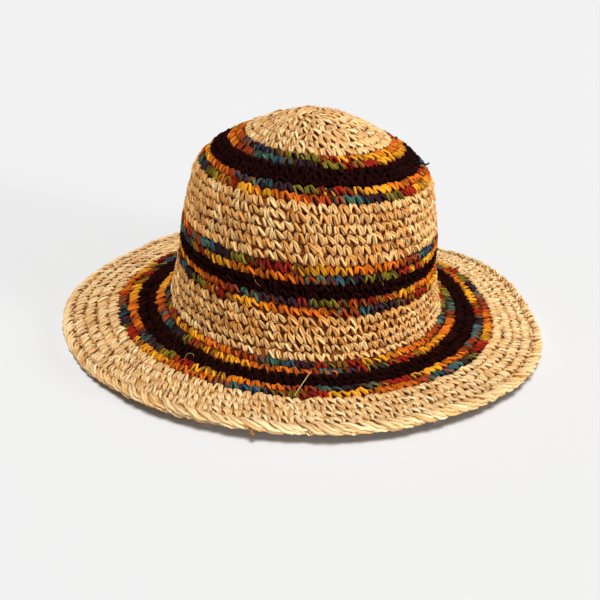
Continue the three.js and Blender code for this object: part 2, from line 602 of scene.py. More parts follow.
@dataclass
class YarnColours:
    """Works out the colour of each stitch's two plies.

    The paleness of the natural yarn is a table of turns from the tip and shares. A pair of tones or depths
    is the least and the most.
    """

    spiral: Spiral
    dye_blend: float = 0.03
    waver: float = 0.02
    stray_share: float = 0.2
    stray_reach: float = 0.1
    second_lag: float = 0.02
    second_waver: float = 0.05
    first_tones: tuple[float, float] = (0.7, 1.3)
    second_tones: tuple[float, float] = (0.35, 1.2)
    paleness: tuple[tuple[float, float], ...] = ((0, 0.7), (9, 0.6), (16, 0.15), (30, 0), (35, 0.7), (43, 1))
    natural_plies: tuple[PlyLook, PlyLook] = (PlyLook(0.6, 1.08), PlyLook(0.34, 0.94))
    cream_spread: float = 0.33
    tan_share: float = 0.24
    tan_depths: tuple[float, float] = (0.2, 0.8)
    tan_bleached: float = 0.6
    brown_rarity: float = 3

    def __post_init__(self) -> None:
        """Lays the dyes out along the repeat."""
        self.ends = np.cumsum([run.share for run in DYE_REPEAT])
        self.dyes = np.array([run.colour for run in DYE_REPEAT])

    def dye_and_painted_shade(self, place: np.ndarray) -> np.ndarray:
        """The dyed colour at places along the yarn.

        Args:
            place: places counted in repeats.

        Returns:
            One colour for each, with a short blend from each dyed stretch to the next.
        """
        share = np.mod(place, 1.0)
        i = np.clip(np.searchsorted(self.ends, share), 0, len(DYE_REPEAT) - 1)
        into_next = np.clip((share - self.ends[i]) / self.dye_blend + 1, 0, 1) * 0.5
        after = np.roll(self.dyes, -1, axis=0)
        return self.dyes[i] * (1 - into_next[:, None]) + after[i] * into_next[:, None]

    def multicolour(self, turns: np.ndarray, rng: np.random.Generator) -> tuple[np.ndarray, np.ndarray]:
        """The plies' colours of stitches in multicoloured yarn.

        Args:
            turns: the stitches' places on the spiral.
            rng: the source of the small differences.

        Returns:
            A colour for the first ply of each stitch, and one for the second.
        """
        count = len(turns)
        rows = {row.turn: row for row in DYED_ROUNDS}
        place = np.zeros(count)
        for i, turn in enumerate(turns):
            row = rows[int(turn)]
            azimuth = math.degrees(self.spiral.azimuth_at(turn - row.turn))
            place[i] = (azimuth - row.gold_azimuth) / 360 * self.spiral.count(turn) / row.stitches
        place += rng.normal(0, self.waver, count)
        stray = (rng.random(count) < self.stray_share) * rng.normal(0, self.stray_reach, count)
        first = self.dye_and_painted_shade(place + stray)
        second = self.dye_and_painted_shade(place + rng.normal(self.second_lag, self.second_waver, count))
        first = first * rng.uniform(*self.first_tones, (count, 1))
        second = second * rng.uniform(*self.second_tones, (count, 1))
        return first, second

    def natural(self, turns: np.ndarray, rng: np.random.Generator) -> tuple[np.ndarray, np.ndarray]:
        """The plies' colours of stitches in natural yarn.

        Args:
            turns: the stitches' places on the spiral.
            rng: the source of the small differences.

        Returns:
            A colour for the first ply of each stitch, and one for the second.
        """
        pale = np.interp(turns, *zip(*self.paleness))[:, None]
        cream = CREAM * (1 - pale) + PALE_CREAM * pale
        straw = STRAW * (1 - pale) + PALE_STRAW * pale
        column = (len(turns), 1)
        plies = []
        for look in self.natural_plies:
            mix = np.clip(rng.normal(look.creamy, self.cream_spread, column), 0, 1)
            dark = (rng.random(column) < self.tan_share) * rng.uniform(*self.tan_depths, column)
            dark *= 1 - self.tan_bleached * pale
            colour = cream * mix + straw * (1 - mix)
            plies.append(look.tone * (colour * (1 - dark) + TAN * dark))
        return plies[0], plies[1]

    def black(self, turns: np.ndarray, rng: np.random.Generator) -> tuple[np.ndarray, np.ndarray]:
        """The plies' colours of stitches in black yarn.

        Args:
            turns: the stitches' places on the spiral.
            rng: the source of the small differences.

        Returns:
            A colour for the first ply of each stitch, and one for the second.
        """
        mix = rng.random((2, len(turns), 1)) ** self.brown_rarity
        colours = BLACK * (1 - mix) + BROWN * mix
        return colours[0], colours[1]

    def of(self, yarn: Yarn, turns: np.ndarray, rng: np.random.Generator) -> tuple[np.ndarray, np.ndarray]:
        """The plies' colours of stitches in a yarn.

        Args:
            yarn: the yarn that they are worked in.
            turns: the stitches' places on the spiral.
            rng: the source of the small differences.

        Returns:
            A colour for the first ply of each stitch, and one for the second.
        """
        if yarn is Yarn.MULTICOLOUR:
            return self.multicolour(turns, rng)
        return self.natural(turns, rng) if yarn is Yarn.NATURAL else self.black(turns, rng)


@dataclass
class StrandMesh:
    """A mesh of closed tubes with a map along each strand."""

    map_length: float = 10 * MM
    # painted light at a tube's sides, and how far it rises towards the outside and falls towards the inside
    painted_side_light: float = 0.62
    painted_light_swing: float = 0.55
    points: list[np.ndarray] = field(default_factory=list)
    faces: list[tuple[int, ...]] = field(default_factory=list)
    maps: list[tuple[float, float]] = field(default_factory=list)
    plies: list[np.ndarray] = field(default_factory=list)
    # how much painted light each point gets, from 0 in full painted shade to 1
    open: list[np.ndarray] = field(default_factory=list)
    size: int = 0

    def add(self, path: np.ndarray, radius: np.ndarray | float, sides: int, ply: float,
            open_to_light: np.ndarray | float, scale: float = 1, outward: np.ndarray | None = None) -> None:
        """Adds a tube along a path, closed at both ends.

        Args:
            path: the points of its middle line.
            radius: its radius, or one for each point.
            sides: the number of its sides.
            ply: 0 for the first ply's colour, 1 for the second's.
            open_to_light: the painted light, from 0 for full painted shade deep between the stitches to 1 on
                top, or a value for each point.
            scale: metres for each unit of the path, for the map.
            outward: the direction out of the cloth at each point; if it is given, painted shade darkens the
                side of the tube that faces away from it.
        """
        count = len(path)
        radii = np.broadcast_to(radius, count)
        tangent = unit(np.gradient(path, axis=0))
        side = np.cross(tangent[0], (0, 0, 1.0))
        if np.linalg.norm(side) < 1e-3:
            side = np.array([1.0, 0, 0])
        length = np.concatenate([[0], np.cumsum(np.linalg.norm(np.diff(path, axis=0), axis=1))])
        turns = np.arange(sides) * FULL_TURN / sides
        rings = []
        painted_light_rows = np.repeat(np.broadcast_to(open_to_light, count)[:, None], sides, axis=1).astype(float)
        for i in range(count):
            side = unit(side - tangent[i] * (side @ tangent[i]))
            up = np.cross(side, tangent[i])
            ring = np.outer(np.cos(turns), side) + np.outer(np.sin(turns), up)
            rings.append(path[i] + ring * radii[i])
            # painted shade on the side of the tube that faces into the cloth
            if outward is not None:
                painted_light_rows[i] *= np.clip(self.painted_side_light + self.painted_light_swing * (ring @ outward[i]), 0, 1)
        self.points.append(np.concatenate(rings))
        self.plies.append(np.full(count * sides, ply))
        self.open.append(painted_light_rows.ravel())
        along = length * scale / self.map_length
        self.faces += tube_faces(self.size, count, sides)
        for i in range(count - 1):
            for k in range(sides):
                low, high = k / sides, (k + 1) / sides
                self.maps += [(along[i], low), (along[i + 1], low), (along[i + 1], high), (along[i], high)]
        last = self.size + (count - 1) * sides
        self.faces.append(tuple(self.size + k for k in range(sides)))
        self.maps += [(along[0], k / sides) for k in range(sides)]
        self.faces.append(tuple(last + k for k in reversed(range(sides))))
        self.maps += [(along[-1], k / sides) for k in reversed(range(sides))]
        self.size += count * sides

    def to_mesh(self, name: str) -> bpy.types.Mesh:
        """The tubes as a mesh.

        Args:
            name: the mesh's name.

        Returns:
            The mesh, with its map.
        """
        mesh = bpy.data.meshes.new(name)
        mesh.from_pydata(np.concatenate(self.points).tolist(), [], self.faces, shade_flat=False)
        layer = mesh.uv_layers.new(name="UVMap")
        layer.uv.foreach_set("vector", np.array(self.maps, np.float32).ravel())
        return mesh

    def to_object(self, name: str) -> bpy.types.Object:
        """The tubes as a helper object.

        Args:
            name: the object's name.

        Returns:
            The object, with each point's ply and painted light.
        """
        mesh = self.to_mesh(name)
        write_layer(mesh, "ply", np.concatenate(self.plies), "FLOAT")
        write_layer(mesh, "open", np.concatenate(self.open), "FLOAT")
        return add_object(name, mesh)


# each point lies across the stitch, towards the tip and outwards, in shares of the stitch
LEFT_LEG = ((-0.36, -0.57, -0.48), (-0.34, -0.38, -0.20), (-0.29, 0.0, -0.06), (-0.18, 0.32, -0.12))
STITCH_HEAD = (0.0, 0.5, -0.3)
RIGHT_LEG = ((0.17, 0.32, -0.07), (0.29, -0.02, 0.02), (0.37, -0.38, -0.10), (0.42, -0.57, -0.44))
INNER_BAR = ((-0.52, -0.12, 0.2), (-0.24, 0.1, 0.13), (0.26, 0.12, 0.12), (0.5, -0.1, 0.2))


@dataclass(frozen=True)
class StitchShape:
    """A crochet stitch in a square of one unit, with the tip of the crown towards +Y and outside +Z.

    Its yarn comes out of the round above, spreads into two legs and goes under the round below.
    """

    seed: int
    lean: tuple[float, float] = (0.16, 0.46)
    spread: tuple[float, float] = (0.94, 1.14)
    puff: tuple[float, float] = (0.03, 0.13)
    twist: tuple[float, float] = (0.35, 0.85)
    wander: tuple[float, float, float] = (0.045, 0.035, 0.03)
    ply_radius: float = 0.15
    ply_offset: float = 0.112
    ply_flatness: float = 0.7
    puff_reach: float = 1.6
    # painted shade: full below this height in the cloth, fading out over the rise above it
    painted_shade_below: float = -0.34
    painted_light_rise: float = 0.24
    steps: int = 6
    sides: int = 5

    def yarn_line(self, rng: np.random.Generator) -> np.ndarray:
        """The middle line of the yarn over both legs.

        Args:
            rng: the source of the shape's own differences.

        Returns:
            Nine points, from the foot of one leg to the foot of the other.
        """
        line = np.array([*LEFT_LEG, STITCH_HEAD, *RIGHT_LEG])
        line[:, 0] *= rng.uniform(*self.spread)
        line[:, 0] -= rng.uniform(*self.lean) * line[:, 1]
        line[:, 2] += rng.uniform(*self.puff) * (1 - (line[:, 1] * self.puff_reach) ** 2).clip(0)
        line[1:-1] += rng.normal(0, self.wander, (len(line) - 2, 3))
        return line

    def to_object(self, name: str, unit_size: float) -> bpy.types.Object:
        """The stitch as a helper object.

        Args:
            name: the object's name.
            unit_size: metres for each unit.

        Returns:
            The object, linked to the scene.
        """
        rng = np.random.default_rng(self.seed)
        line = self.yarn_line(rng)
        twist, phase = rng.uniform(*self.twist), rng.uniform(0, FULL_TURN)
        curve = SmoothCurve(np.linspace(0, 1, len(line)), line)
        way = np.linspace(0, 1, self.steps + 1)
        middle = curve(way)
        outward = np.tile((0, 0, 1.0), (len(middle), 1))
        strands = StrandMesh()
        for ply in (0, 1):
            angle = phase + math.pi * ply + FULL_TURN * twist * way
            path = ply_path(middle, outward, angle, self.ply_offset, self.ply_flatness)
            # painted shade, darker the deeper a ply lies in the cloth
            opened = np.clip((path[:, 2] - self.painted_shade_below) / self.painted_light_rise, 0, 1)
            strands.add(path, self.ply_radius, self.sides, ply, opened, unit_size, outward)
        return strands.to_object(name)


@dataclass(frozen=True)
class InnerBar:
    """The two short strands that a stitch shows on the inside of the hat, in the same unit square."""

    wall: float
    radius: float = 0.17
    shifts: tuple[float, float] = (-0.27, 0.22)
    second_flatter: float = 0.3
    second_higher: float = 0.03
    sides: int = 3

    def to_object(self, name: str, unit_size: float) -> bpy.types.Object:
        """The strands as a helper object.

        Args:
            name: the object's name.
            unit_size: metres for each unit.

        Returns:
            The object, linked to the scene.
        """
        line = np.array(INNER_BAR)
        outward = np.tile((0, 0, -1.0), (len(line), 1))
        strands = StrandMesh()
        for ply, shift in enumerate(self.shifts):
            height = self.second_higher * ply - self.wall / unit_size
            path = line * (1, 1 - self.second_flatter * ply, 1) + (0, shift, height)
            strands.add(path, self.radius, self.sides, ply, 1, unit_size, outward)
        return strands.to_object(name)


STITCH_SEEDS = range(11, 23)
STITCH_SHAPES = tuple(StitchShape(seed) for seed in STITCH_SEEDS)


@dataclass(frozen=True)
class Winding:
    """A way round the rim: its start and end in degrees from straight outwards, and its reach in pitches.

    Its plies lie off its middle by a share of their radius. It bulges by a share, the sooner the lower
    bulge_start is.
    """

    start: float
    end: float
    reach: float
    plies: int
    spacing: float
    bulge: float
    bulge_start: float


WINDINGS = (
    Winding(start=152, end=-62, reach=2.2, plies=3, spacing=1.05, bulge=0.1, bulge_start=0.75),
    Winding(start=0, end=-205, reach=1.2, plies=2, spacing=0.85, bulge=0.24, bulge_start=1),
)


@dataclass(frozen=True)
class RimShape:
    """The strands of one pitch of the rim's cord, which wind over the edge and under it, in metres."""

    half_width: float
    half_height: float
    pitch: float
    seed: int
    ply_radius: float = 1.22 * MM
    ply_flatness: float = 0.6
    ply_twist: float = 0.45
    clearance: float = 1.2
    inwards: float = 0.5 * MM
    upwards: float = 0.4 * MM
    slowing: float = 1.3
    waver: float = 0.3 * MM
    taper_power: float = 0.8
    # painted shade: the strands' colour darkens towards their ends, less in their first half
    end_painted_light: float = 0.3
    painted_light_rise: float = 4.5
    steps: int = 10
    sides: int = 5

    def middle(self, winding: Winding, way: np.ndarray) -> np.ndarray:
        """The middle line of a winding strand.

        Args:
            winding: the way that it goes.
            way: shares of its length.

        Returns:
            The points of the line.
        """
        turn = np.radians(winding.start + (winding.end - winding.start) * (1 - (1 - way) ** self.slowing))
        along = (way - 0.5) * winding.reach * self.pitch
        space = self.clearance * self.ply_radius
        across = self.inwards - (self.half_width - space) * np.cos(turn)
        up = self.upwards + (self.half_height - space) * np.sin(turn)
        line = np.stack([along, across, up], -1)
        line[:, 1:] *= (1 + winding.bulge * np.sin(math.pi * way**winding.bulge_start))[:, None]
        return line

    def to_object(self, name: str) -> bpy.types.Object:
        """The strands as a helper object.

        Args:
            name: the object's name.

        Returns:
            The object, linked to the scene.
        """
        rng = np.random.default_rng(self.seed)
        strands = StrandMesh()
        way = np.linspace(0, 1, self.steps + 1)
        swell = np.sin(math.pi * way)
        radius = self.ply_radius * (0.5 + 0.5 * swell**self.taper_power)
        # painted shade towards each strand's ends, where it goes under its neighbours
        opened = np.clip(self.painted_light_rise * swell + self.end_painted_light * (way < 0.5), 0, 1)
        for winding in WINDINGS:
            middle = self.middle(winding, way)
            middle[1:-1] += rng.normal(0, self.waver, (len(middle) - 2, 3))
            outward = unit(middle * (0, 1, 1) + (0, 0, 1e-6))
            phase = rng.uniform(0, FULL_TURN)
            for ply in range(winding.plies):
                angle = phase + FULL_TURN * (ply / winding.plies + self.ply_twist * way)
                path = ply_path(middle, outward, angle, self.ply_radius * winding.spacing, self.ply_flatness)
                strands.add(path, radius, self.sides, ply / (winding.plies - 1), opened, 1, outward)
        return strands.to_object(name)


@dataclass(frozen=True)
class FibreShape:
    """A stray fibre that stands off the yarn, in metres.

    Its root is a share of its length and is sunk in the yarn. It tapers from its root to its end.
    """

    length: float
    rise: float
    curl: float
    radius: float = 0.11 * MM
    root: float = 0.1
    root_depth: float = 0.6 * MM
    arch: float = 0.8
    taper: tuple[float, float] = (1.1, 0.3)
    steps: int = 6
    sides: int = 3

    def to_object(self, name: str) -> bpy.types.Object:
        """The fibre as a helper object.

        Args:
            name: the object's name.

        Returns:
            The object, linked to the scene.
        """
        way = np.linspace(0, 1, self.steps + 1)
        along = (way - self.root) * self.length
        across = self.curl * self.length * np.sin(math.pi * way)
        up = self.rise * np.sin(math.pi * way * self.arch)
        up[0] -= self.root_depth
        radius = self.radius * np.interp(way, (0, 1), self.taper)
        strands = StrandMesh()
        strands.add(np.stack([along, across, up], -1), radius, self.sides, 0, 1)
        return strands.to_object(name)


FIBRE_SHAPES = (
    FibreShape(4 * MM, 1.2 * MM, 0.18),
    FibreShape(6 * MM, 1.4 * MM, -0.22),
    FibreShape(8 * MM, 0.9 * MM, 0.3),
    FibreShape(3 * MM, 1.6 * MM, -0.1),
    FibreShape(10 * MM, 1.1 * MM, 0.12),
)


@dataclass
class Places:
    """Where a set of like shapes goes: a place, turn, size, shape and pair of colours for each."""

    at: np.ndarray
    axes: np.ndarray
    size: np.ndarray
    shape: np.ndarray
    first: np.ndarray
    second: np.ndarray

    @staticmethod
    def joined(parts: list["Places"]) -> "Places":
        """Several sets as one."""
        names = ("at", "axes", "size", "shape", "first", "second")
        return Places(*[np.concatenate([getattr(part, name) for part in parts]) for name in names])

    def to_object(self, name: str) -> bpy.types.Object:
        """The places as loose points.

        Args:
            name: the object's name.

        Returns:
            An object with a point for each place, and its values as attributes.
        """
        mesh = bpy.data.meshes.new(name)
        mesh.from_pydata(self.at.tolist(), [], [])
        turns = [tuple(Matrix(rows.T.tolist()).to_quaternion()) for rows in self.axes]
        write_layer(mesh, "turn", np.array(turns), "QUATERNION")
        write_layer(mesh, "shape", self.shape, "INT")
        for key in ("size", "first", "second"):
            write_layer(mesh, key, getattr(self, key))
        return add_object(name, mesh)


class Laying:
    """The geometry nodes that lay stitches on their places and join them to the cloth behind them."""

    def __init__(self, shapes: list[bpy.types.Object]) -> None:
        """Builds the tree.

        Args:
            shapes: the helper objects that it picks from, in the order of the places' shape numbers.
        """
        self.shapes = shapes
        self.tree = bpy.data.node_groups.new("lay_stitches", "GeometryNodeTree")
        face = self.tree.interface
        face.new_socket("Places", in_out="INPUT", socket_type="NodeSocketGeometry")
        self.shape_inputs = [
            face.new_socket(f"Stitch {i + 1}", in_out="INPUT", socket_type="NodeSocketObject").identifier
            for i in range(len(shapes))
        ]
        self.cloth_input = face.new_socket("Cloth", in_out="INPUT", socket_type="NodeSocketObject").identifier
        self.yarn_input = face.new_socket("Yarn", in_out="INPUT", socket_type="NodeSocketMaterial").identifier
        face.new_socket("Worked", in_out="OUTPUT", socket_type="NodeSocketGeometry")
        self.wire()

    def node(self, kind: str, **settings: object) -> bpy.types.Node:
        """Adds a node with the given settings.

        Args:
            kind: the node's type.
            settings: its settings.

        Returns:
            The node.
        """
        made = self.tree.nodes.new(kind)
        for key, value in settings.items():
            setattr(made, key, value)
        return made

    def attribute(self, name: str, kind: str) -> bpy.types.NodeSocket:
        """The output that reads one of the places' values.

        Args:
            name: the attribute's name.
            kind: the attribute's type.

        Returns:
            The socket.
        """
        made = self.node("GeometryNodeInputNamedAttribute", data_type=kind)
        made.inputs["Name"].default_value = name
        return next(socket for socket in made.outputs if socket.enabled and socket.name == "Attribute")

    def wire(self) -> None:
        """Links the nodes from the places to the worked cloth."""
        link = self.tree.links.new
        given = self.node("NodeGroupInput")
        pick = self.node("GeometryNodeJoinGeometry")
        for i in reversed(range(len(self.shapes))):
            info = self.node("GeometryNodeObjectInfo", transform_space="ORIGINAL")
            info.inputs["As Instance"].default_value = True
            link(given.outputs[f"Stitch {i + 1}"], info.inputs["Object"])
            link(info.outputs["Geometry"], pick.inputs["Geometry"])
        lay = self.node("GeometryNodeInstanceOnPoints")
        lay.inputs["Pick Instance"].default_value = True
        link(given.outputs["Places"], lay.inputs["Points"])
        link(pick.outputs["Geometry"], lay.inputs["Instance"])
        link(self.attribute("shape", "INT"), lay.inputs["Instance Index"])
        link(self.attribute("turn", "QUATERNION"), lay.inputs["Rotation"])
        link(self.attribute("size", "FLOAT_VECTOR"), lay.inputs["Scale"])
        cloth = self.node("GeometryNodeObjectInfo", transform_space="ORIGINAL")
        link(given.outputs["Cloth"], cloth.inputs["Object"])
        both = self.node("GeometryNodeJoinGeometry")
        link(lay.outputs["Instances"], both.inputs["Geometry"])
        link(cloth.outputs["Geometry"], both.inputs["Geometry"])
        real = self.node("GeometryNodeRealizeInstances")
        link(both.outputs["Geometry"], real.inputs["Geometry"])
        finish = self.node("GeometryNodeSetMaterial")
        link(real.outputs["Geometry"], finish.inputs["Geometry"])
        link(given.outputs["Yarn"], finish.inputs["Material"])
        result = self.node("NodeGroupOutput")
        link(finish.outputs["Geometry"], result.inputs["Worked"])

    def lay(self, name: str, places: Places, cloth: bpy.types.Object | None, finish: "YarnFinish",
            depth: float = 1) -> bpy.types.Object:
        """Lays the stitches and makes the result a plain mesh.

        Args:
            name: the piece's name.
            places: where the stitches go.
            cloth: the wall behind them, which is used up, or None.
            finish: the yarn's finish.
            depth: how strong the finish's painted shade is in the recesses.

        Returns:
            The piece, with its place in its mesh.
        """
        points = places.to_object(name + "_places")
        modifier = points.modifiers.new("lay_stitches", "NODES")
        modifier.node_group = self.tree
        for key, shape in zip(self.shape_inputs, self.shapes):
            modifier[key] = shape
        modifier[self.cloth_input] = cloth
        modifier[self.yarn_input] = finish.material
        graph = bpy.context.evaluated_depsgraph_get()
        graph.update()
        mesh = bpy.data.meshes.new_from_object(points.evaluated_get(graph), depsgraph=graph)
        points.modifiers.remove(modifier)
        for spare in filter(None, (points, cloth)):
            bpy.data.objects.remove(spare)
        mesh.name = name
        # the finish's painted shade, raised to the power of the strength given
        self.settle(mesh, np.array(finish.painted_shade_tint) ** depth)
        return add_object(name, mesh)

    @staticmethod
    def settle(mesh: bpy.types.Mesh, painted_shade_tint: np.ndarray) -> None:
        """Presses the mesh on the floor, and turns its plies' colours into one colour for each point, with
        painted shade multiplied in.

        Args:
            mesh: the realized stitches and cloth.
            painted_shade_tint: the painted shade, the share of red, green and blue left deep between the
                stitches.
        """
        count = len(mesh.vertices)
        at = np.zeros(count * 3, np.float32)
        mesh.vertices.foreach_get("co", at)
        at = at.reshape(-1, 3)
        at[:, 2] = np.maximum(at[:, 2], 0)
        mesh.vertices.foreach_set("co", at.ravel())
        read = {}
        for key, width in (("first", 3), ("second", 3), ("ply", 1), ("open", 1)):
            rows = np.zeros(count * width, np.float32)
            mesh.attributes[key].data.foreach_get("vector" if width == 3 else "value", rows)
            read[key] = rows.reshape(-1, width)
        dye_and_painted_shade = read["first"] * (1 - read["ply"]) + read["second"] * read["ply"]
        # painted shade: the colour falls towards the finish's tint where the painted light is low
        dye_and_painted_shade *= painted_shade_tint + (1 - painted_shade_tint) * read["open"]
        for key in ("turn", "size", "shape", *read):
            if key in mesh.attributes:
                mesh.attributes.remove(mesh.attributes[key])
        write_layer(mesh, "dye_and_painted_shade", dye_and_painted_shade)
        mesh.update()

    def discard(self) -> None:
        """Removes the helper objects once every piece is laid."""
        for shape in self.shapes:
            bpy.data.objects.remove(shape)


class FibreGroup:
    """The shader group that draws the fine fibres along a strand, and broad blotches over the hat."""

    def __init__(self) -> None:
        """Builds the group."""
        self.tree = bpy.data.node_groups.new("strand_fibres", "ShaderNodeTree")
        face = self.tree.interface
        face.new_socket("Strand", in_out="INPUT", socket_type="NodeSocketVector")
        values = {"Fibres Across": 9.0, "Fibres Along": 1.6, "Contrast": 0.4, "Blotches": 0.2}
        for name, value in values.items():
            face.new_socket(name, in_out="INPUT", socket_type="NodeSocketFloat").default_value = value
        for name in ("Shade", "Height"):
            face.new_socket(name, in_out="OUTPUT", socket_type="NodeSocketFloat")
        self.wire()

    def node(self, kind: str, inputs: dict[str | int, object], **settings: object) -> bpy.types.Node:
        """Adds a node.

        Args:
            kind: the node's type.
            inputs: what goes into its sockets, each another node's output or a plain value.
            settings: its other settings.

        Returns:
            The node.
        """
        made = self.tree.nodes.new(kind)
        for key, value in settings.items():
            setattr(made, key, value)
        for key, value in inputs.items():
            if isinstance(value, bpy.types.NodeSocket):
                self.tree.links.new(value, made.inputs[key])
            else:
                made.inputs[key].default_value = value
        return made

    def sum_of(self, operation: str, *values: object) -> bpy.types.NodeSocket:
        """The output of a math node on other nodes' outputs or plain numbers."""
        return self.node("ShaderNodeMath", dict(enumerate(values)), operation=operation).outputs["Value"]

    def wire(self) -> None:
        """Links the nodes from the strand's map to its shade and height."""
        given = self.tree.nodes.new("NodeGroupInput").outputs
        sizes = {"X": given["Fibres Along"], "Y": given["Fibres Across"]}
        scale = self.node("ShaderNodeCombineXYZ", sizes).outputs["Vector"]
        stretched = self.node("ShaderNodeVectorMath", {0: given["Strand"], 1: scale}, operation="MULTIPLY")
        along = {"Vector": stretched.outputs["Vector"], "Scale": 1.0, "Detail": 3.0}
        fine = self.node("ShaderNodeTexNoise", along).outputs["Fac"]
        place = self.node("ShaderNodeTexCoord", {}).outputs["Object"]
        over = {"Vector": place, "Scale": 90.0, "Detail": 2.0}
        broad = self.node("ShaderNodeTexNoise", over).outputs["Fac"]
        darkest = self.sum_of("SUBTRACT", 1.0, given["Contrast"])
        limits = {"Value": fine, "From Min": 0.3, "From Max": 0.7, "To Min": darkest}
        fibres = self.node("ShaderNodeMapRange", limits).outputs["Result"]
        blotches = self.sum_of("MULTIPLY_ADD", self.sum_of("SUBTRACT", broad, 0.5), given["Blotches"], 1.0)
        self.node("NodeGroupOutput", {"Shade": self.sum_of("MULTIPLY", fibres, blotches), "Height": fine})


@dataclass(frozen=True)
class YarnFinish:
    """The finish of a yarn: its fibres, roughness and gloss over the colours of its stitches.

    The recess is the painted shade: the share of red, green and blue that is left deep between the stitches,
    where shade is painted into the colour.
    """

    yarn: Yarn
    painted_shade_tint: tuple[float, float, float]
    contrast: float
    blotches: float
    roughness: float
    gloss: float
    relief: float = 0.6
    relief_height: float = 0.25 * MM
    material: bpy.types.Material | None = None

    def build(self, fibres: FibreGroup) -> "YarnFinish":
        """Builds the material, which reads the pieces' own colours, with their painted shade, and strand
        maps.

        Args:
            fibres: the shared shader group.

        Returns:
            A copy of the finish that holds its material.
        """
        made = bpy.data.materials.new(self.yarn.value)
        made.use_nodes = True
        nodes, link = made.node_tree.nodes, made.node_tree.links.new
        shader = nodes["Principled BSDF"]
        strand = nodes.new("ShaderNodeUVMap")
        strand.uv_map = "UVMap"
        drawn = nodes.new("ShaderNodeGroup")
        drawn.node_tree = fibres.tree
        drawn.inputs["Contrast"].default_value = self.contrast
        drawn.inputs["Blotches"].default_value = self.blotches
        link(strand.outputs["UV"], drawn.inputs["Strand"])
        # the points' colour, with its painted shade
        dye_and_painted_shade = nodes.new("ShaderNodeAttribute")
        dye_and_painted_shade.attribute_name = "dye_and_painted_shade"
        tinted = nodes.new("ShaderNodeMix")
        tinted.data_type = "RGBA"
        tinted.blend_type = "MULTIPLY"
        tinted.inputs["Factor"].default_value = 1.0
        link(dye_and_painted_shade.outputs["Vector"], tinted.inputs["A"])
        link(drawn.outputs["Shade"], tinted.inputs["B"])
        link(tinted.outputs["Result"], shader.inputs["Base Color"])
        raised = nodes.new("ShaderNodeBump")
        raised.inputs["Strength"].default_value = self.relief
        raised.inputs["Distance"].default_value = self.relief_height
        link(drawn.outputs["Height"], raised.inputs["Height"])
        link(raised.outputs["Normal"], shader.inputs["Normal"])
        shader.inputs["Roughness"].default_value = self.roughness
        shader.inputs["Specular IOR Level"].default_value = self.gloss
        return replace(self, material=made)


# each finish's first numbers are its painted shade, the share of the colour left deep between the stitches
FINISHES = (
    YarnFinish(Yarn.NATURAL, (0.33, 0.14, 0.04), contrast=0.4, blotches=0.3, roughness=0.8, gloss=0.1),
    YarnFinish(Yarn.MULTICOLOUR, (0.3, 0.15, 0.09), contrast=0.45, blotches=0.4, roughness=0.85, gloss=0.1),
    YarnFinish(Yarn.BLACK, (0.6, 0.5, 0.5), contrast=0.3, blotches=0.3, roughness=1.0, gloss=0.03),
)


@dataclass(frozen=True)
class LongEdge:
    """An edge that runs along a round: rounds from the round's middle, depth in metres, and its painted
    light.
    """

    across: float
    depth: float
    light: float


@dataclass(frozen=True)
class Press:
    """How far the cloth is pressed in at the tip, in metres, and in how many rounds that fades."""

    depth: float
    rounds: float


